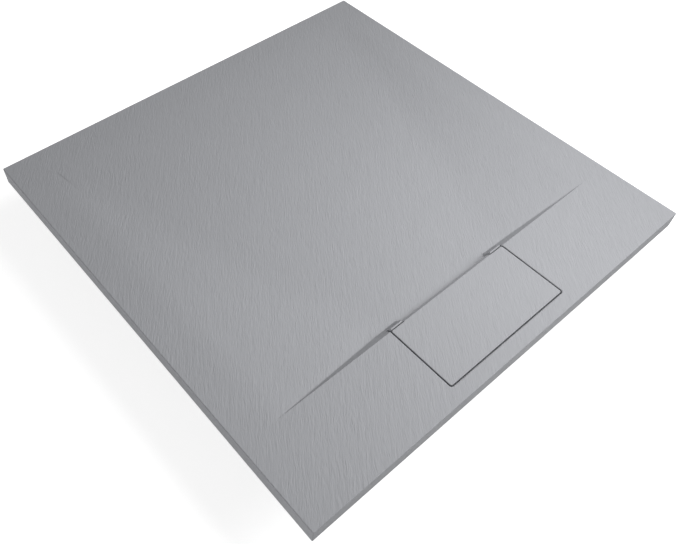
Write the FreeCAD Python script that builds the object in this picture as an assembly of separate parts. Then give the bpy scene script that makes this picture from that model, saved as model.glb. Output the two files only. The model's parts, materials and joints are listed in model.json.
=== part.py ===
import FreeCAD, Part
import math
import os

# Square shower tray moulded in one piece, with a level strip along its front and a flush drain cover.
#
# The floor of the tray falls from a level rim to the strip, where water runs under the free rear edge
# of the cover into a well.  A low trap with a clamped flange hangs below the well.
#
# Frame: millimetres, +Z up, +X to the right and +Y to the rear.  The origin is the centre of the
# tray's underside.

V = FreeCAD.Vector
UP = V(0, 0, 1)
REARWARD = V(0, 1, 0)

# Tray
tray_width = 900.0
tray_depth = 900.0
tray_height = 35.0
shell = 5.0  # wall of the moulding
skirt = 6.0  # wall round the outside
corner_radius = 2.0  # upright corners
rim_round = 1.6  # top edge of the sides
rib_thickness = 4.0
rib_pitch = 90.0

# Basin: the fall of the floor inside the level rim
strip_depth = 158.5  # level strip, front to rear
side_rim = 68.0
rear_rim = 62.0
basin_depth = 16.0
drain_side_width = 282.0  # width of the lowest part of the floor, at the strip
step_angle = 46.0  # face between the strip and the floor, from the level
step_foot_round = 3.0
fold_round_width = 25.0  # the folds of the floor are rounded this far to each side
rim_round_width = 18.0  # the same where the floor leaves the level rim
round_overcut = 0.02  # such a round starts this far outside the face that it runs into

# Drain cover and the pocket that it lies in
cover_width = 278.0
cover_depth = 129.2
cover_thickness = 8.0
cover_corner = 3.0
cover_edge_round = 1.0
cover_gap = 2.4  # to the strip, left, right and front
cover_rear_gap = 1.6  # to the two tabs behind its rear corners
cover_nose_height = 6.0  # rear edge between the tabs, bevelled in line with the step
cover_nose_round = 0.5
cover_rib_height = 3.5
cover_rib_thickness = 4.0
cover_rib_inset = 14.0  # ribs stop this far inside the well
cover_rib_count = 4
pad_thickness = 2.0
pad_length = 30.0
pad_width = 12.0
pad_inset = 8.0  # from the cover's front and rear edges
pad_corner = 2.0
pocket_corner = 5.0
pocket_edge_round = 1.5
tab_width = 26.0  # from the mouth outwards
tab_depth = 2.5  # its level top, front to rear

# Well under the cover, and the mouth through which water reaches it
shelf_width = 30.4  # shelves at the two ends of the pocket
front_ledge = 7.4
well_floor = 6.0  # height of the well's floor
well_corner = 14.0
well_foot_round = 3.0
mouth_weir = 6.0  # floor's edge, ahead of the cover's rear edge
chute_angle = 3.5
chute_run = 23.0  # how far behind the strip the chute starts
well_bottom_rise = 1.0  # well's underside above the tray's underside

# Waste: clamped flange
drain_hole_radius = 45.0
flange_radius = 54.0
flange_plate = 1.6
flange_sleeve_wall = 1.8
flange_outer_bevel = (1.2, 0.6)  # across and down
flange_inner_bevel = 1.2
flange_hole_clearance = 0.5
flange_gasket_thickness = 1.5
flange_gasket_inset = 1.0
flange_ledge_thickness = 2.5
flange_ledge_top = 0.0
flange_opening_clearance = 0.6  # round the dip tube's lip
screw_count = 4
screw_circle_radius = 39.0
screw_first_angle = 45.0
screw_radius = 2.0
screw_head_radius = 3.7
screw_head_height = 2.2
screw_length = 13.0
screw_clearance = 0.2
insert_radius = 3.0
insert_length = 7.0
thread_clearance = 0.05
driver_slot_width = 0.9
driver_slot_length = 4.4
driver_slot_depth = 1.0

# Waste: trap body
trap_gasket_thickness = 3.0
trap_flange_radius = 56.0
trap_flange_thickness = 5.0
trap_wall = 3.0
trap_inner_radius = 50.0
trap_ledge_top = -6.5
trap_ledge_thickness = 8.0
trap_mouth_radius = 46.0
trap_bore_radius = 31.6
trap_floor = -90.0
trap_bottom_round = 12.0
trap_web_count = 8
trap_web_thickness = 2.5
trap_web_height = 9.0
trap_web_inset = 1.0

# Waste: outlet
pipe_radius = 20.0
pipe_wall = 1.8
pipe_length = 92.0
pipe_in_socket = 16.0
pipe_end_space = 1.0  # between the pipe's end and the bottom of the socket
pipe_spigot_step = 0.3  # the end in the socket is this much slimmer all round
pipe_end_chamfer = 0.9
outlet_height = -33.0
outlet_wall = 3.4
outlet_length = 26.0  # beyond the bowl's wall
outlet_clearance = 0.4
seal_length = 6.0
seal_wall = 2.6
seal_clearance = 0.15
slip_ring_thickness = 2.0
slip_ring_clearance = 0.2
nut_wall = 3.9
nut_length = 24.0
nut_end_thickness = 3.0
nut_clearance = 0.3
nut_bevel = 1.0
nut_grip_count = 12
nut_grip_radius = 2.2
nut_grip_offset = 0.6  # axes of the grips lie this far outside the nut

# Waste: removable dip tube, its seal and the hair strainer
dip_step = 2.6  # tube inside the bore of the trap's ledge
dip_wall = 2.0
dip_end = -80.0
dip_lip_width = 1.8  # rests on the ledge, beyond the bore
dip_lip_thickness = 2.0
dip_collar_clearance = 0.3
dip_collar_taper = 3.0
dip_bar_thickness = 3.0
dip_bar_height = 6.0
dip_bar_top = -9.5
seal_ring_radius = 1.25
seal_squeeze_gap = 0.05
seal_groove_side = 0.4
strainer_inset = 0.2  # inside the dip tube's lip
strainer_sheet = 1.2
strainer_rim_height = 3.4
strainer_hole_radius = 1.9
strainer_hole_rings = (8, 14, 20)  # holes in each ring, from the inner one outwards
strainer_hole_edge = 0.2  # between the outer holes and the tube's wall
strainer_hole_space = 2.4  # between two rings
knob_radius = 9.0
knob_stem_radius = 5.0
knob_height = 9.0
knob_cap_height = 4.0
knob_round = 1.6
knob_screw_radius = 2.0
knob_screw_head_radius = 3.6
knob_screw_head_height = 2.2
knob_screw_head_round = 0.8
knob_bore_depth = 6.0
knob_bore_end = 0.6  # free space past the screw's tip

# Places worked out from the sizes above
front = -tray_depth / 2.0
rear = tray_depth / 2.0
step_y = front + strip_depth
rim_x = tray_width / 2.0 - side_rim
rim_y = rear - rear_rim
fold_x = drain_side_width / 2.0
cover_rear = step_y
cover_front = cover_rear - cover_depth
cover_under = tray_height - cover_thickness
shelf_top = cover_under - pad_thickness
pocket_half = cover_width / 2.0 + cover_gap
pocket_front = cover_front - cover_gap
well_half = pocket_half - shelf_width
well_front = pocket_front + front_ledge
well_rear = cover_rear - mouth_weir
drain_y = (well_front + well_rear) / 2.0
chute_start = step_y + chute_run
side_slope = basin_depth / (rim_x - fold_x)
rear_slope = basin_depth / (rim_y - step_y)
step_slope = math.tan(math.radians(step_angle))
dip_radius = trap_bore_radius - dip_step
dip_lip_radius = trap_bore_radius + dip_lip_width
flange_opening_radius = dip_lip_radius + flange_opening_clearance
strainer_seat = trap_ledge_top + dip_lip_thickness
strainer_radius = dip_lip_radius - strainer_inset
flange_seat = well_floor + flange_gasket_thickness
sleeve_radius = drain_hole_radius - flange_hole_clearance
trap_top = well_bottom_rise - trap_gasket_thickness
socket_radius = pipe_radius + outlet_clearance
outlet_radius = socket_radius + outlet_wall
nut_radius = outlet_radius + nut_clearance + nut_wall
outlet_start = drain_y + trap_inner_radius
outlet_end = drain_y + trap_inner_radius + trap_wall + outlet_length
seal_start = outlet_end - seal_length / 2.0
slip_ring_start = seal_start + seal_length
nut_end = slip_ring_start + slip_ring_thickness + nut_end_thickness
pipe_start = outlet_end - pipe_in_socket
pipe_end = pipe_start + pipe_length
beyond = 10.0  # how far a cutting shape runs past what it cuts


def block(x0, x1, y0, y1, z0, z1):
    return Part.makeBox(x1 - x0, y1 - y0, z1 - z0, V(x0, y0, z0))


def upright_edges(shape):
    return [e for e in shape.Edges if abs(e.Vertexes[0].Z - e.Vertexes[-1].Z) > 0.5]


def rounded_block(x0, x1, y0, y1, z0, z1, radius):
    solid = block(x0, x1, y0, y1, z0, z1)
    return solid.makeFillet(radius, upright_edges(solid))


def prism_along_x(points, x0, x1):
    outline = Part.makePolygon([V(x0, y, z) for y, z in points + points[:1]])
    return Part.Face(outline).extrude(V(x1 - x0, 0, 0))


def prism_along_y(points, y0, y1):
    outline = Part.makePolygon([V(x, y0, z) for x, z in points + points[:1]])
    return Part.Face(outline).extrude(V(0, y1 - y0, 0))


def revolved(points, x=0.0, y=drain_y):
    """A solid of revolution about the upright line at x, y, from (radius, height) points."""
    outline = Part.makePolygon([V(x + r, y, z) for r, z in points + points[:1]])
    return Part.Face(outline).revolve(V(x, y, 0), UP, 360)


def tube(outer, inner, z0, z1, x=0.0, y=drain_y):
    return revolved([(inner, z0), (outer, z0), (outer, z1), (inner, z1)], x, y)


def cylinder(radius, z0, z1, x=0.0, y=drain_y):
    return Part.makeCylinder(radius, z1 - z0, V(x, y, z0))


def outlet_tube(outer, inner, y0, y1):
    """A tube along the outlet's axis."""
    start = V(0, y0, outlet_height)
    solid = Part.makeCylinder(outer, y1 - y0, start, REARWARD)
    return solid.cut(Part.makeCylinder(inner, y1 - y0, start, REARWARD))


def around(count, radius, first_angle=0.0):
    """Points spaced evenly on a circle about the drain's axis."""
    turns = [math.radians(first_angle + 360.0 * i / count) for i in range(count)]
    return [(radius * math.cos(a), drain_y + radius * math.sin(a)) for a in turns]


def screw_places():
    return around(screw_count, screw_circle_radius, screw_first_angle)


# ---------------------------------------------------------------------------------------------
# Tray


def rear_height(y):
    """Height of the floor's slope from the rear."""
    return tray_height - rear_slope * (rim_y - y)


def over_side_slope():
    """The space over the slope that falls from the right-hand rim."""
    top = tray_height + beyond
    edge = rim_x + beyond / side_slope
    low = top - 2.0 * edge * side_slope
    return prism_along_y([(edge, top), (-edge, low), (-edge, top)], front, 2.0 * rear)


def over_rear_slope():
    top = tray_height + beyond
    edge = rim_y + beyond / rear_slope
    return prism_along_x([(edge, top), (front, rear_height(front)), (front, top)], -tray_width, tray_width)


def over_step():
    top = tray_height + beyond
    edge = rim_y + beyond / rear_slope + beyond
    run = top / step_slope
    start = step_y - beyond / step_slope
    outline = [(start, top), (start + run, 0.0), (edge, 0.0), (edge, top)]
    return prism_along_x(outline, -tray_width, tray_width)


def mirrored(shape):
    return shape.mirror(V(0, 0, 0), V(1, 0, 0))


def rounding(corner, one, other, width, along):
    """What a wide round fills or takes off, along an edge between two faces that bend only a little.

    one and other lead away from the edge, along the faces.
    """
    one.normalize()
    other.normalize()
    inward = one + other
    inward.normalize()
    middle = corner + inward * (width * math.tan(math.asin(one.dot(inward)) / 2.0))
    start = corner + one * width - inward * round_overcut
    end = corner + other * width - inward * round_overcut
    back = corner - inward
    outline = [
        Part.Arc(start, middle, end).toShape(),
        Part.makeLine(end, back),
        Part.makeLine(back, start),
    ]
    return Part.Face(Part.Wire(outline)).extrude(along)


def side_rim_rounding():
    corner = V(rim_x, front, tray_height)
    return rounding(corner, V(1, 0, 0), V(-1, 0, -side_slope), rim_round_width, V(0, tray_depth, 0))


def rear_rim_rounding():
    corner = V(-tray_width / 2.0, rim_y, tray_height)
    return rounding(corner, V(0, 1, 0), V(0, -1, -rear_slope), rim_round_width, V(tray_width, 0, 0))


def fold_rounding():
    """Along the right-hand fold, between the slopes from the side and from the rear."""
    rise = V(rim_x - fold_x, rim_y - step_y, basin_depth)
    side_normal = V(-side_slope, 0, 1)
    rear_normal = V(0, -rear_slope, 1)
    outward = rise.cross(side_normal)
    inward = rear_normal.cross(rise)
    start = V(fold_x, step_y, tray_height - basin_depth)
    return rounding(start, outward, inward, fold_round_width, rise)


def step_foot(space):
    """Edges of the basin where the step meets the three slopes."""
    found = []
    for edge in space.Edges:
        off = [abs(tray_height - v.Z - step_slope * (v.Y - step_y)) for v in edge.Vertexes]
        if max(off) < 0.01 and edge.BoundBox.ZMin < tray_height:
            found.append(edge)
    return found


def basin_space():
    """The space over the floor, up to past the level of the rim."""
    side = over_side_slope()
    back = over_rear_slope()
    step = over_step()
    space = side.common(mirrored(side)).common(back).common(step)
    space = space.makeFillet(step_foot_round, step_foot(space))
    fold = fold_rounding()
    space = space.cut([fold, mirrored(fold)])
    side_rim = side_rim_rounding().common(back).common(step)
    rear_rim = rear_rim_rounding().common(side).common(mirrored(side))
    return space.fuse([side_rim, mirrored(side_rim), rear_rim])


def mouth_space():
    """The space between the two tabs, over the chute that leads under the cover."""
    y0 = well_rear - beyond
    y1 = chute_start + beyond
    top = tray_height + beyond
    fall = math.tan(math.radians(chute_angle))
    start = rear_height(chute_start)
    low = start - (chute_start - y0) * fall
    high = start + (y1 - chute_start) * fall
    return prism_along_x([(y0, low), (y1, high), (y1, top), (y0, top)], -well_half, well_half)


def pocket_space():
    """The pocket runs out through the step, beside the tabs."""
    top = tray_height + beyond
    end = step_y + (tray_height - shelf_top) / step_slope + pocket_corner
    return rounded_block(-pocket_half, pocket_half, pocket_front, end, shelf_top, top, pocket_corner)


def tab():
    """Right-hand tab behind the cover, from its level top down to the foot of the step."""
    y0 = cover_rear + cover_rear_gap
    foot_y = (step_slope * step_y + tray_height - rear_height(0.0)) / (step_slope + rear_slope)
    foot = rear_height(foot_y)
    low = foot - well_foot_round
    outline = [(y0, low), (y0, tray_height), (y0 + tab_depth, tray_height), (foot_y, foot), (foot_y, low)]
    return prism_along_x(outline, well_half - beyond, well_half + tab_width)


def around_well(low, high):
    """The well with its walls, between two heights."""
    half = well_half + shell
    return block(-half, half, well_front - shell, well_rear + shell, low, high)


def well_space():
    well = rounded_block(
        -well_half, well_half, well_front, well_rear, well_floor, shelf_top + beyond, well_corner
    )
    foot = [e for e in well.Edges if e.BoundBox.ZMax < well_floor + 0.01]
    return well.makeFillet(well_foot_round, foot)


def rib_places(half):
    """Middles of the ribs along a side of the given half length, spaced from the centre outwards."""
    count = int((half - rib_pitch / 2.0) // rib_pitch)
    return [i * rib_pitch for i in range(-count, count + 1)]


def rib_grid():
    half = rib_thickness / 2.0
    ribs = [block(x - half, x + half, front, rear, 0.0, tray_height) for x in rib_places(tray_width / 2.0)]
    for y in rib_places(tray_depth / 2.0):
        ribs.append(block(-tray_width / 2.0, tray_width / 2.0, y - half, y + half, 0.0, tray_height))
    return ribs


def underside_space():
    """The hollow between the ribs, below the strip, the rim and the three slopes."""
    in_x = tray_width / 2.0 - skirt
    in_rear = rear - skirt
    roof = tray_height - shell
    low = roof - basin_depth
    below = -beyond
    reach = roof * (rim_x - fold_x) / basin_depth
    side = prism_along_y(
        [(-in_x, below), (-in_x, roof), (-rim_x, roof), (reach - rim_x, below)], step_y, in_rear
    )
    back = prism_along_x(
        [(in_rear, below), (in_rear, roof), (rim_y, roof), (step_y, low), (step_y, below)], -in_x, in_x
    )
    strip = block(-in_x, in_x, front + skirt, step_y - shell, below, roof)
    housing = block(
        -pocket_half - shell,
        pocket_half + shell,
        pocket_front - shell,
        step_y + shell,
        shelf_top - shell,
        tray_height,
    )
    space = back.fuse([side, mirrored(side), strip])
    return space.cut([housing, around_well(well_bottom_rise, tray_height)] + rib_grid())


def outside_shape():
    """The tray's outside, with rounded corners and a rounded top edge."""
    half = tray_width / 2.0
    solid = rounded_block(-half, half, front, rear, 0.0, tray_height, corner_radius)
    return solid.makeFillet(rim_round, [e for e in solid.Edges if e.BoundBox.ZMin > tray_height - 0.01])


def pocket_lip(solid):
    """The pocket's front and side edges, in the top of the strip."""
    return [
        e
        for e in solid.Edges
        if e.BoundBox.ZMin > tray_height - 0.01
        and max(-e.BoundBox.XMin, e.BoundBox.XMax) < pocket_half + 0.01
        and pocket_front - 0.01 < e.BoundBox.YMin < step_y - 0.01
    ]


def tray_body():
    solid = outside_shape().cut([basin_space(), pocket_space()])
    solid = solid.fuse([tab(), mirrored(tab())])
    hollows = [
        well_space(),
        mouth_space(),
        underside_space(),
        around_well(-beyond, well_bottom_rise),
        cylinder(drain_hole_radius, -beyond, tray_height),
    ]
    solid = solid.cut(hollows)
    return solid.makeFillet(pocket_edge_round, pocket_lip(solid))


# ---------------------------------------------------------------------------------------------
# Drain cover


def cover_nose():
    """The cover's rear edge between the tabs, bevelled in line with the step."""
    half = well_half - cover_gap
    back = cover_rear + cover_nose_height / step_slope
    outline = [
        (well_rear, cover_under),
        (back, cover_under),
        (back, tray_height - cover_nose_height),
        (cover_rear, tray_height),
        (well_rear, tray_height),
    ]
    nose = prism_along_x(outline, -half, half)
    top = [e for e in nose.Edges if e.BoundBox.ZMin > tray_height - 0.01]
    return nose.makeFillet(cover_nose_round, [e for e in top if e.BoundBox.YMin > cover_rear - 0.01])


def drain_cover():
    half = cover_width / 2.0
    plate = rounded_block(-half, half, cover_front, cover_rear, cover_under, tray_height, cover_corner)
    top = [e for e in plate.Edges if e.BoundBox.ZMin > tray_height - 0.01]
    plate = plate.makeFillet(cover_edge_round, top).fuse(cover_nose())
    reach = well_half - cover_rib_inset
    low = cover_under - cover_rib_height
    span = well_rear - well_front - 2.0 * cover_rib_inset
    ribs = []
    for i in range(cover_rib_count):
        y = well_front + cover_rib_inset + span * i / (cover_rib_count - 1)
        y0 = y - cover_rib_thickness / 2.0
        ribs.append(block(-reach, reach, y0, y0 + cover_rib_thickness, low, cover_under))
    return plate.fuse(ribs).removeSplitter()


def cover_pads():
    """Four rubber pads under the cover's corners, on the shelves."""
    x = well_half + shelf_width / 2.0 - cover_gap / 2.0
    pads = []
    for cx in (-x, x):
        for y0 in (cover_front + pad_inset, cover_rear - pad_inset - pad_length):
            pads.append(
                rounded_block(
                    cx - pad_width / 2.0,
                    cx + pad_width / 2.0,
                    y0,
                    y0 + pad_length,
                    shelf_top,
                    cover_under,
                    pad_corner,
                )
            )
    return Part.makeCompound(pads)


# ---------------------------------------------------------------------------------------------
# Waste


def flange_ring():
    """Steel ring: a rim on the well's floor, a sleeve through the hole and a ledge for the screws."""
    top = flange_seat + flange_plate
    inside = sleeve_radius - flange_sleeve_wall
    ledge_bottom = flange_ledge_top - flange_ledge_thickness
    across, down = flange_outer_bevel
    ring = revolved(
        [
            (flange_opening_radius, ledge_bottom),
            (sleeve_radius, ledge_bottom),
            (sleeve_radius, flange_seat),
            (flange_radius, flange_seat),
            (flange_radius, top - down),
            (flange_radius - across, top),
            (inside + flange_inner_bevel, top),
            (inside, top - flange_inner_bevel),
            (inside, flange_ledge_top),
            (flange_opening_radius, flange_ledge_top),
        ]
    )
    for x, y in screw_places():
        small = screw_radius + screw_clearance
        large = screw_head_radius + screw_clearance
        sink = Part.makeCone(small, large, screw_head_height, V(x, y, flange_ledge_top - screw_head_height))
        ring = ring.cut([cylinder(small, ledge_bottom, flange_ledge_top, x, y), sink])
    return ring


def flange_screws():
    screws = []
    under_head = flange_ledge_top - screw_head_height
    for x, y in screw_places():
        head = Part.makeCone(screw_radius, screw_head_radius, screw_head_height, V(x, y, under_head))
        shank = cylinder(screw_radius, flange_ledge_top - screw_length, under_head, x, y)
        screw = head.fuse(shank)
        for width, length in (
            (driver_slot_width, driver_slot_length),
            (driver_slot_length, driver_slot_width),
        ):
            screw = screw.cut(
                block(
                    x - width / 2.0,
                    x + width / 2.0,
                    y - length / 2.0,
                    y + length / 2.0,
                    flange_ledge_top - driver_slot_depth,
                    flange_ledge_top,
                )
            )
        screws.append(screw)
    return Part.makeCompound(screws)


def screw_inserts():
    """Threaded brass sleeves in the trap's ledge."""
    sleeves = []
    for x, y in screw_places():
        sleeves.append(
            tube(
                insert_radius - thread_clearance,
                screw_radius + thread_clearance,
                trap_ledge_top - insert_length,
                trap_ledge_top,
                x,
                y,
            )
        )
    return Part.makeCompound(sleeves)


def flange_gasket():
    return tube(flange_radius - flange_gasket_inset, drain_hole_radius, well_floor, flange_seat)


def trap_gasket():
    return tube(trap_flange_radius, trap_mouth_radius, trap_top, well_bottom_rise)


def trap_body():
    """Bowl with a clamping flange, an inner ledge for the screws and the dip tube, and an outlet."""
    outer = trap_inner_radius + trap_wall
    bottom = trap_floor - trap_wall
    ledge_bottom = trap_ledge_top - trap_ledge_thickness
    flange_under = trap_top - trap_flange_thickness
    bowl = cylinder(outer, bottom, trap_top)
    low_edge = [e for e in bowl.Edges if e.BoundBox.ZMax < bottom + 0.01]
    bowl = bowl.makeFillet(trap_bottom_round, low_edge)
    bowl = bowl.fuse(cylinder(trap_flange_radius, flange_under, trap_top))
    hollow = cylinder(trap_inner_radius, trap_floor, ledge_bottom)
    low_edge = [e for e in hollow.Edges if e.BoundBox.ZMax < trap_floor + 0.01]
    hollow = hollow.makeFillet(trap_bottom_round - trap_wall, low_edge)
    spout = Part.makeCylinder(
        outlet_radius, outlet_end - outlet_start, V(0, outlet_start, outlet_height), REARWARD
    )
    webs = []
    for i in range(trap_web_count):
        web = block(
            trap_inner_radius + trap_wall / 2.0,
            trap_flange_radius - trap_web_inset,
            -trap_web_thickness / 2.0,
            trap_web_thickness / 2.0,
            flange_under - trap_web_height,
            flange_under,
        )
        web.rotate(V(0, 0, 0), UP, 360.0 * (i + 0.5) / trap_web_count)
        web.translate(V(0, drain_y, 0))
        webs.append(web)
    body = bowl.fuse([spout] + webs)
    body = body.cut(
        [
            hollow,
            cylinder(trap_bore_radius, ledge_bottom - beyond, trap_ledge_top),
            cylinder(trap_mouth_radius, trap_ledge_top, trap_top),
        ]
    )
    bore_start = outlet_start - beyond
    bore = Part.makeCylinder(
        pipe_radius - pipe_wall, outlet_end - bore_start, V(0, bore_start, outlet_height), REARWARD
    )
    socket_start = pipe_start - pipe_end_space
    socket = Part.makeCylinder(
        socket_radius, outlet_end - socket_start, V(0, socket_start, outlet_height), REARWARD
    )
    seat = Part.makeCone(
        socket_radius,
        socket_radius + seal_wall,
        seal_length / 2.0,
        V(0, outlet_end - seal_length / 2.0, outlet_height),
        REARWARD,
    )
    body = body.cut([bore, socket, seat])
    for x, y in screw_places():
        body = body.cut(cylinder(insert_radius, trap_ledge_top - insert_length, trap_ledge_top, x, y))
    return body


def outlet_seal():
    """Cone washer between the outlet's mouth and the slip ring."""
    half = seal_length / 2.0
    inner = pipe_radius - pipe_spigot_step + thread_clearance
    small = socket_radius - seal_clearance
    large = small + seal_wall
    start = V(0, seal_start, outlet_height)
    cone = Part.makeCone(small, large, half, start, REARWARD)
    drum = Part.makeCylinder(large, half, V(0, outlet_end, outlet_height), REARWARD)
    return cone.fuse(drum).cut(Part.makeCylinder(inner, seal_length, start, REARWARD)).removeSplitter()


def outlet_slip_ring():
    outer = outlet_radius - nut_clearance
    inner = pipe_radius - pipe_spigot_step + slip_ring_clearance
    return outlet_tube(outer, inner, slip_ring_start, slip_ring_start + slip_ring_thickness)


def outlet_nut():
    """Union nut with grips round it."""
    start = nut_end - nut_length
    origin = V(0, start, outlet_height)
    nut = Part.makeCylinder(nut_radius, nut_length, origin, REARWARD)
    rims = [e for e in nut.Edges if e.BoundBox.YLength < 0.01]
    nut = nut.makeChamfer(nut_bevel, rims)
    nut = nut.cut(
        Part.makeCylinder(outlet_radius + nut_clearance, nut_length - nut_end_thickness, origin, REARWARD)
    )
    nut = nut.cut(Part.makeCylinder(pipe_radius + outlet_clearance, nut_length, origin, REARWARD))
    reach = nut_radius + nut_grip_offset
    for i in range(nut_grip_count):
        a = 2.0 * math.pi * i / nut_grip_count
        place = V(reach * math.cos(a), start, outlet_height + reach * math.sin(a))
        nut = nut.cut(Part.makeCylinder(nut_grip_radius, nut_length, place, REARWARD))
    return nut


def waste_pipe():
    bore = pipe_radius - pipe_wall
    shoulder = nut_end + thread_clearance
    spigot = outlet_tube(pipe_radius - pipe_spigot_step, bore, pipe_start, shoulder)
    pipe = outlet_tube(pipe_radius, bore, shoulder, pipe_end)
    rim = [e for e in pipe.Edges if e.BoundBox.YMin > pipe_end - 0.01 and e.BoundBox.XMax > bore + 0.01]
    return pipe.makeChamfer(pipe_end_chamfer, rim).fuse(spigot)


def dip_tube():
    """Tube that reaches below the water line, with a lip, a grooved collar and a bar to lift it by."""
    collar = trap_bore_radius - dip_collar_clearance
    ledge_bottom = trap_ledge_top - trap_ledge_thickness
    groove_z = trap_ledge_top - trap_ledge_thickness / 2.0
    inner = dip_radius - dip_wall
    groove_bottom = trap_bore_radius - 2.0 * (seal_squeeze_gap + seal_ring_radius)
    half = seal_ring_radius + seal_groove_side
    body = revolved(
        [
            (inner, dip_end),
            (dip_radius, dip_end),
            (dip_radius, ledge_bottom - dip_collar_taper),
            (collar, ledge_bottom),
            (collar, groove_z - half),
            (groove_bottom, groove_z - half),
            (groove_bottom, groove_z + half),
            (collar, groove_z + half),
            (collar, trap_ledge_top),
            (dip_lip_radius, trap_ledge_top),
            (dip_lip_radius, strainer_seat),
            (inner, strainer_seat),
        ]
    )
    bar = block(
        -inner - dip_wall / 2.0,
        inner + dip_wall / 2.0,
        drain_y - dip_bar_thickness / 2.0,
        drain_y + dip_bar_thickness / 2.0,
        dip_bar_top - dip_bar_height,
        dip_bar_top,
    )
    return body.fuse(bar)


def insert_seal():
    centre = trap_bore_radius - seal_squeeze_gap - seal_ring_radius
    height = trap_ledge_top - trap_ledge_thickness / 2.0
    return Part.makeTorus(centre, seal_ring_radius, V(0, drain_y, height))


def hair_strainer():
    """Pierced steel dish on the dip tube's lip."""
    bottom = strainer_seat
    top = bottom + strainer_rim_height
    dish = revolved(
        [
            (0.0, bottom),
            (strainer_radius, bottom),
            (strainer_radius, top),
            (strainer_radius - strainer_sheet, top),
            (strainer_radius - strainer_sheet, bottom + strainer_sheet),
            (0.0, bottom + strainer_sheet),
        ]
    )
    sheet_top = bottom + strainer_sheet
    holes = [cylinder(knob_screw_radius + thread_clearance, bottom, sheet_top)]
    outer_ring = dip_radius - dip_wall - strainer_hole_edge - strainer_hole_radius
    ring_pitch = 2.0 * strainer_hole_radius + strainer_hole_space
    for i, count in enumerate(reversed(strainer_hole_rings)):
        for x, y in around(count, outer_ring - i * ring_pitch):
            holes.append(cylinder(strainer_hole_radius, bottom, sheet_top, x, y))
    return dish.cut(holes)


def strainer_knob():
    bottom = strainer_seat + strainer_sheet
    cap_bottom = bottom + knob_height - knob_cap_height
    cap = cylinder(knob_radius, cap_bottom, bottom + knob_height)
    rims = [e for e in cap.Edges if e.BoundBox.ZLength < 0.01]
    cap = cap.makeFillet(knob_round, rims)
    stem = cylinder(knob_stem_radius, bottom, cap_bottom + knob_round)
    bore = cylinder(knob_screw_radius + thread_clearance, bottom, bottom + knob_bore_depth)
    return cap.fuse(stem).cut(bore)


def knob_screw():
    """Pan-head screw up into the knob, with its head under the strainer."""
    bottom = strainer_seat - knob_screw_head_height
    head = cylinder(knob_screw_head_radius, bottom, strainer_seat)
    rim = [e for e in head.Edges if e.BoundBox.ZMax < bottom + 0.01]
    head = head.makeFillet(knob_screw_head_round, rim)
    tip = strainer_seat + strainer_sheet + knob_bore_depth - knob_bore_end
    shank = cylinder(knob_screw_radius, strainer_seat, tip)
    slot = block(
        -knob_screw_head_radius,
        knob_screw_head_radius,
        drain_y - driver_slot_width / 2.0,
        drain_y + driver_slot_width / 2.0,
        bottom,
        bottom + driver_slot_depth,
    )
    return head.fuse(shank).cut(slot)


os.makedirs("parts", exist_ok=True)
for make in (
    tray_body,
    drain_cover,
    cover_pads,
    flange_ring,
    flange_gasket,
    flange_screws,
    screw_inserts,
    trap_gasket,
    trap_body,
    outlet_seal,
    outlet_slip_ring,
    outlet_nut,
    waste_pipe,
    dip_tube,
    insert_seal,
    hair_strainer,
    strainer_knob,
    knob_screw,
):
    shape = make()
    shape.exportStep("parts/" + make.__name__ + ".step")
    print(make.__name__, len(shape.Solids), shape.isValid(), round(shape.Volume / 1000.0, 2), "cm3")
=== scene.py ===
import json
import math

import bpy
from mathutils import Matrix, Vector

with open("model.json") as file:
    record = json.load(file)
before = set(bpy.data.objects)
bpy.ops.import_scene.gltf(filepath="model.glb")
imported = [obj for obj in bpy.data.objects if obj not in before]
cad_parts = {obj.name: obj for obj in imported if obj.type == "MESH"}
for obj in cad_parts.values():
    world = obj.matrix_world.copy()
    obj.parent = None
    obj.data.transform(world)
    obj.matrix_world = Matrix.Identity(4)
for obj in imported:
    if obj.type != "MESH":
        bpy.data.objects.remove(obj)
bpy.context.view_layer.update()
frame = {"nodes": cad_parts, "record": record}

# Places in the row frame, in metres.
DRAIN = (0.0, -0.3566)  # the waste's upright axis, x and y
FLOOR_HEIGHT = -0.0935  # just below the trap
FLOOR_HALF = 6.0

WHITE = (1.0, 1.0, 1.0, 1.0)
FLOOR_COLOR = (0.74, 0.74, 0.74)
FLOOR_FADE = (0.7, 1.6)  # from its own shade to white, in metres from the object's middle
FLOOR_GLOW = (0.8, 1.0)  # how bright the backdrop's own white is at those two distances
WORLD_LIGHT = 0.07
SUN_DISTANCE = 4.0

# The streaks of the stone-effect skin run this far from +Y towards +X.
GRAIN_TURN = math.radians(39.0)

# The photograph's camera, solved from the tray's corners and the drain cover.
CAMERA_PLACE = (-0.6813, -0.6516, 1.0234)
CAMERA_TURN = (40.91, 52.29, 0.80)  # yaw from +Y towards +X, pitch down and roll, in degrees
CAMERA_LENS = 38.04
CAMERA_SHIFT = (0.0807, -0.0134)


# ------------------------------------------------------------------------------------------------
# Node helpers


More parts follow.
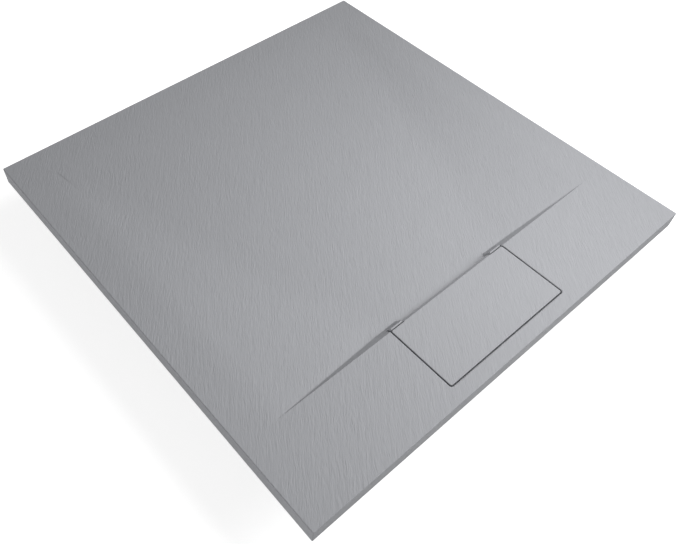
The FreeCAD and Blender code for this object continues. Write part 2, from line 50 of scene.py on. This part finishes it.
class Shade:
    """A material under construction, with short names for the nodes that it needs."""

    def __init__(self, name):
        self.material = bpy.data.materials.new(name)
        self.material.use_nodes = True
        self.tree = self.material.node_tree
        self.tree.nodes.clear()
        self.output = self.tree.nodes.new("ShaderNodeOutputMaterial")
        self.place = self.add("ShaderNodeTexCoord").outputs["Object"]

    def add(self, kind, values=None, **settings):
        """A new node, with values or links for its inputs."""
        node = self.tree.nodes.new(kind)
        for key, value in settings.items():
            setattr(node, key, value)
        for key, value in (values or {}).items():
            self.put(node.inputs[key], value)
        return node

    def put(self, socket, value):
        if isinstance(value, bpy.types.NodeSocket):
            self.tree.links.new(value, socket)
        else:
            socket.default_value = value

    def maths(self, operation, a, b=0.0, c=0.0):
        return self.add("ShaderNodeMath", {0: a, 1: b, 2: c}, operation=operation).outputs[0]

    def stretched(self, vector, size, turn=0.0):
        """The place in units of size, in axes turned about Z."""
        values = {"Vector": vector, "Rotation": (0.0, 0.0, turn), "Scale": size}
        return self.add("ShaderNodeMapping", values, vector_type="TEXTURE").outputs[0]

    def noise(self, vector, scale=1.0, detail=2.0, roughness=0.5):
        values = {"Vector": vector, "Scale": scale, "Detail": detail, "Roughness": roughness}
        return self.add("ShaderNodeTexNoise", values, noise_dimensions="3D")

    def waver(self, vector, size, reach):
        """The place pushed about by up to reach, in patches of about size."""
        push = self.noise(vector, scale=1.0 / size, detail=1.0).outputs["Color"]
        centred = self.add(
            "ShaderNodeVectorMath", {0: push, 1: (0.5, 0.5, 0.5)}, operation="SUBTRACT"
        ).outputs[0]
        return self.add(
            "ShaderNodeVectorMath",
            {0: centred, 1: (2.0 * reach,) * 3, 2: vector},
            operation="MULTIPLY_ADD",
        ).outputs[0]

    def spread(self, noise, low, high):
        """A noise's usual range turned into one from low to high."""
        values = {
            "Value": noise.outputs[0],
            "From Min": 0.25,
            "From Max": 0.75,
            "To Min": low,
            "To Max": high,
        }
        return self.add("ShaderNodeMapRange", values, clamp=False).outputs[0]

    def tinted(self, color, factor):
        """A colour times a number."""
        values = {0: color, "Scale": factor}
        return self.add("ShaderNodeVectorMath", values, operation="SCALE").outputs[0]

    def bump(self, height, distance):
        return self.add("ShaderNodeBump", {"Height": height, "Distance": distance}).outputs[0]

    def principled(self, **values):
        """The finished material, from inputs named with _ for each space."""
        names = {key.replace("_", " "): value for key, value in values.items()}
        shader = self.add("ShaderNodeBsdfPrincipled", names)
        self.tree.links.new(shader.outputs[0], self.output.inputs["Surface"])
        return self.material


# ------------------------------------------------------------------------------------------------
# Materials of the part. Sizes are in metres, and the scale of a noise is in waves per metre.


def slate(name, color, relief, shift):
    """Resin skin cast on brushed slate: fine wavering streaks, all one way, on a cloudy ground.

    shift moves the pattern, so that two pieces don't share one.
    """
    fine_streak = (0.0019, 0.016, 0.0019)  # across, along and deep
    broad_streak = (0.0048, 0.052, 0.0048)
    broad_share = 0.7
    mean_height = 0.85  # of the two kinds of streak together
    grit_share = 0.12
    s = Shade(name)
    moved = s.add("ShaderNodeVectorMath", {0: s.place, 1: shift}, operation="ADD").outputs[0]
    wavy = s.waver(moved, size=0.034, reach=0.0022)
    fine = s.noise(s.stretched(wavy, fine_streak, -GRAIN_TURN), roughness=0.55)
    broad = s.noise(s.stretched(wavy, broad_streak, -GRAIN_TURN))
    clouds = s.noise(moved, scale=14.0, detail=3.0)
    grit = s.noise(moved, scale=1400.0, detail=1.0)
    patches = s.noise(moved, scale=38.0)
    streaks = s.maths("MULTIPLY_ADD", broad.outputs[0], broad_share, fine.outputs[0])
    streaks = s.maths("SUBTRACT", streaks, mean_height)
    streaks = s.maths("MULTIPLY", streaks, s.spread(patches, 0.55, 1.35))
    height = s.maths("MULTIPLY_ADD", grit.outputs[0], grit_share, streaks)
    return s.principled(
        Base_Color=s.tinted(
            color, s.maths("MULTIPLY_ADD", streaks, 0.08, s.spread(clouds, 0.988, 1.012))
        ),
        Roughness=s.maths("MULTIPLY_ADD", streaks, -0.18, s.spread(clouds, 0.66, 0.74)),
        Specular_IOR_Level=0.15,
        Normal=s.bump(height, relief),
    )


def turned_steel(name, color):
    """Sheet steel brushed in rings about the drain's axis."""
    ring_size = (0.00022, 0.003, 0.00022)  # across, along and deep
    ring_run = 0.004  # along a ring, for each radian about the axis
    s = Shade(name)
    parts = s.add("ShaderNodeSeparateXYZ", {0: s.place}).outputs
    x = s.maths("SUBTRACT", parts[0], DRAIN[0])
    y = s.maths("SUBTRACT", parts[1], DRAIN[1])
    radius = s.maths("SQRT", s.maths("MULTIPLY_ADD", x, x, s.maths("MULTIPLY", y, y)))
    along = s.maths("MULTIPLY", s.maths("ARCTAN2", y, x), ring_run)
    rings = s.add("ShaderNodeCombineXYZ", {0: radius, 1: along, 2: parts[2]}).outputs[0]
    lines = s.noise(s.stretched(rings, ring_size), detail=3.0, roughness=0.6)
    stains = s.noise(s.place, scale=70.0, detail=3.0, roughness=0.55)
    return s.principled(
        Base_Color=s.tinted(color, s.spread(stains, 0.93, 1.03)),
        Metallic=1.0,
        Roughness=s.maths("ADD", s.spread(stains, 0.24, 0.36), s.spread(lines, -0.05, 0.05)),
        Normal=s.bump(lines.outputs[0], 0.00003),
    )


def brass(name, color):
    """Turned brass, dulled in patches."""
    turning = (0.004, 0.004, 0.00018)  # lines round an upright axis
    s = Shade(name)
    dull = s.noise(s.place, scale=260.0, detail=3.0, roughness=0.6)
    lines = s.noise(s.stretched(s.place, turning))
    return s.principled(
        Base_Color=s.tinted(color, s.spread(dull, 0.85, 1.04)),
        Metallic=1.0,
        Roughness=s.spread(dull, 0.26, 0.42),
        Normal=s.bump(lines.outputs[0], 0.00003),
    )


def rubber(name, color):
    """Soft moulded rubber with a dusty bloom."""
    s = Shade(name)
    bloom = s.noise(s.place, scale=120.0, detail=3.0, roughness=0.6)
    pores = s.noise(s.place, scale=2600.0)
    return s.principled(
        Base_Color=s.tinted(color, s.spread(bloom, 0.85, 1.35)),
        Roughness=s.spread(bloom, 0.66, 0.82),
        Specular_IOR_Level=0.4,
        Normal=s.bump(pores.outputs[0], 0.00004),
    )


def moulded(name, color, dullness, grain=0.00002, fineness=900.0):
    """Injection-moulded plastic: a faint flow pattern, a fine skin and marks of handling."""
    s = Shade(name)
    flow = s.noise(s.waver(s.place, size=0.02, reach=0.006), scale=45.0)
    skin = s.noise(s.place, scale=fineness)
    marks = s.noise(s.place, scale=160.0, detail=4.0, roughness=0.65)
    return s.principled(
        Base_Color=s.tinted(color, s.spread(flow, 0.975, 1.02)),
        Roughness=s.spread(marks, dullness - 0.05, dullness + 0.07),
        Specular_IOR_Level=0.5,
        Normal=s.bump(skin.outputs[0], grain),
    )


def extruded(name, color, dullness):
    """Plastic pipe drawn along Y, with faint die lines."""
    die_line = (0.0009, 0.12, 0.0009)
    s = Shade(name)
    lines = s.noise(s.stretched(s.place, die_line))
    marks = s.noise(s.place, scale=90.0, detail=4.0, roughness=0.6)
    worn = s.spread(marks, dullness - 0.05, dullness + 0.05)
    return s.principled(
        Base_Color=s.tinted(color, s.spread(marks, 0.96, 1.03)),
        Roughness=s.maths("ADD", worn, s.spread(lines, -0.03, 0.03)),
        Specular_IOR_Level=0.5,
        Normal=s.bump(lines.outputs[0], 0.00003),
    )


materials = {
    "tray_slate": slate(
        "tray_slate", (0.352, 0.357, 0.375), relief=0.0006, shift=(0.0, 0.0, 0.0)
    ),
    "cover_slate": slate(
        "cover_slate", (0.356, 0.361, 0.379), relief=0.00052, shift=(0.83, 0.37, 0.0)
    ),
    "steel": turned_steel("steel", (0.62, 0.62, 0.61)),
    "brass": brass("brass", (0.72, 0.53, 0.25)),
    "rubber": rubber("rubber", (0.03, 0.03, 0.032)),
    "trap_plastic": moulded("trap_plastic", (0.72, 0.73, 0.72), 0.42),
    "nut_plastic": moulded("nut_plastic", (0.62, 0.63, 0.63), 0.46, 0.00003, 1200.0),
    "white_plastic": moulded("white_plastic", (0.8, 0.8, 0.78), 0.38),
    "pipe_plastic": extruded("pipe_plastic", (0.45, 0.46, 0.47), 0.4),
    "knob_plastic": moulded("knob_plastic", (0.16, 0.17, 0.18), 0.55, 0.00004, 1500.0),
}

for part in frame["record"]["subparts"]:
    mesh = frame["nodes"][part["node"]].data
    mesh.materials.clear()
    mesh.materials.append(materials[part["material_slot"]])


# ------------------------------------------------------------------------------------------------
# Stage, light and camera


def seen_directly(tree):
    """1 for the rays that show the backdrop itself, 0 for those that light the object with it."""
    path = tree.nodes.new("ShaderNodeLightPath")
    total = path.outputs["Is Camera Ray"]
    for name in ("Is Glossy Ray", "Is Transmission Ray"):
        add = tree.nodes.new("ShaderNodeMath")
        add.operation = "MAXIMUM"
        tree.links.new(total, add.inputs[0])
        tree.links.new(path.outputs[name], add.inputs[1])
        total = add.outputs[0]
    return total


def floor_material():
    """Pale floor that fades to white away from the object and can be looked through from below."""
    s = Shade("pale_floor")
    away = s.add("ShaderNodeVectorMath", {0: s.place}, operation="LENGTH").outputs["Value"]
    fade = s.add(
        "ShaderNodeMapRange",
        {
            "Value": away,
            "From Min": FLOOR_FADE[0],
            "From Max": FLOOR_FADE[1],
            "To Min": FLOOR_GLOW[0],
            "To Max": FLOOR_GLOW[1],
        },
        interpolation_type="SMOOTHSTEP",
    ).outputs[0]
    glow = s.maths("MULTIPLY", fade, seen_directly(s.tree))
    speckle = s.noise(s.place, scale=6.0)
    pale_color = s.tinted(FLOOR_COLOR, s.spread(speckle, 0.995, 1.005))
    pale = s.add("ShaderNodeBsdfDiffuse", {"Color": pale_color})
    white = s.add("ShaderNodeEmission", {"Color": WHITE, "Strength": glow})
    lit = s.add("ShaderNodeAddShader", {0: pale.outputs[0], 1: white.outputs[0]})
    clear = s.add("ShaderNodeBsdfTransparent")
    below = s.add("ShaderNodeNewGeometry").outputs["Backfacing"]
    both = s.add("ShaderNodeMixShader", {0: below, 1: lit.outputs[0], 2: clear.outputs[0]})
    s.tree.links.new(both.outputs[0], s.output.inputs["Surface"])
    return s.material


def stage_floor():
    half = FLOOR_HALF
    corners = [(-half, -half, 0.0), (half, -half, 0.0), (half, half, 0.0), (-half, half, 0.0)]
    mesh = bpy.data.meshes.new("studio_floor")
    mesh.from_pydata(corners, [], [(0, 1, 2, 3)])
    floor = bpy.data.objects.new("studio_floor", mesh)
    floor.location = (0.0, 0.0, FLOOR_HEIGHT)
    mesh.materials.append(floor_material())
    bpy.context.scene.collection.objects.link(floor)


def backdrop(tree, strength):
    node = tree.nodes.new("ShaderNodeBackground")
    node.inputs["Color"].default_value = WHITE
    node.inputs["Strength"].default_value = strength
    return node.outputs[0]


def studio_world():
    """Faint light from all round, before a backdrop that is seen as white."""
    world = bpy.data.worlds.new("studio")
    world.use_nodes = True
    tree = world.node_tree
    tree.nodes.clear()
    output = tree.nodes.new("ShaderNodeOutputWorld")
    mix = tree.nodes.new("ShaderNodeMixShader")
    tree.links.new(seen_directly(tree), mix.inputs[0])
    tree.links.new(backdrop(tree, WORLD_LIGHT), mix.inputs[1])
    tree.links.new(backdrop(tree, 1.0), mix.inputs[2])
    tree.links.new(mix.outputs[0], output.inputs["Surface"])
    bpy.context.scene.world = world


def lamp(name, kind, place, **settings):
    """A lamp that faces the origin."""
    light = bpy.data.lights.new(name, kind)
    for key, value in settings.items():
        setattr(light, key, value)
    obj = bpy.data.objects.new(name, light)
    obj.location = place
    obj.rotation_mode = "QUATERNION"
    obj.rotation_quaternion = (-Vector(place)).to_track_quat("-Z", "Y")
    bpy.context.scene.collection.objects.link(obj)


def low_sun(name, azimuth, elevation, strength, spread):
    """A broad light from far away: azimuth from +X towards +Y. All angles are in degrees."""
    a = math.radians(azimuth)
    e = math.radians(elevation)
    towards = Vector((math.cos(a) * math.cos(e), math.sin(a) * math.cos(e), math.sin(e)))
    lamp(name, "SUN", towards * SUN_DISTANCE, energy=strength, angle=math.radians(spread))


def photo_camera():
    yaw, pitch, roll = (math.radians(angle) for angle in CAMERA_TURN)
    level = Vector((math.cos(yaw), -math.sin(yaw), 0.0))
    ahead = Vector((math.sin(yaw), math.cos(yaw), 0.0))
    forward = ahead * math.cos(pitch) - Vector((0.0, 0.0, math.sin(pitch)))
    upward = level.cross(forward)
    right = level * math.cos(roll) + upward * math.sin(roll)
    up = upward * math.cos(roll) - level * math.sin(roll)
    data = bpy.data.cameras.new("camera")
    data.sensor_fit = "HORIZONTAL"
    data.sensor_width = 36.0
    data.lens = CAMERA_LENS
    data.shift_x, data.shift_y = CAMERA_SHIFT
    data.clip_start = 0.05
    data.clip_end = 50.0
    camera = bpy.data.objects.new("camera", data)
    turn = Matrix((right, up, -forward)).transposed().to_4x4()
    camera.matrix_world = Matrix.Translation(CAMERA_PLACE) @ turn
    bpy.context.scene.collection.objects.link(camera)
    bpy.context.scene.camera = camera


stage_floor()
studio_world()
lamp("key", "POINT", (0.29, -0.46, 0.96), energy=31.5, shadow_soft_size=0.25)
low_sun("side", azimuth=-15.0, elevation=20.0, strength=2.8, spread=20.0)
low_sun("fill", azimuth=180.0, elevation=13.0, strength=1.25, spread=20.0)
photo_camera()
bpy.context.scene.view_settings.view_transform = "Standard"
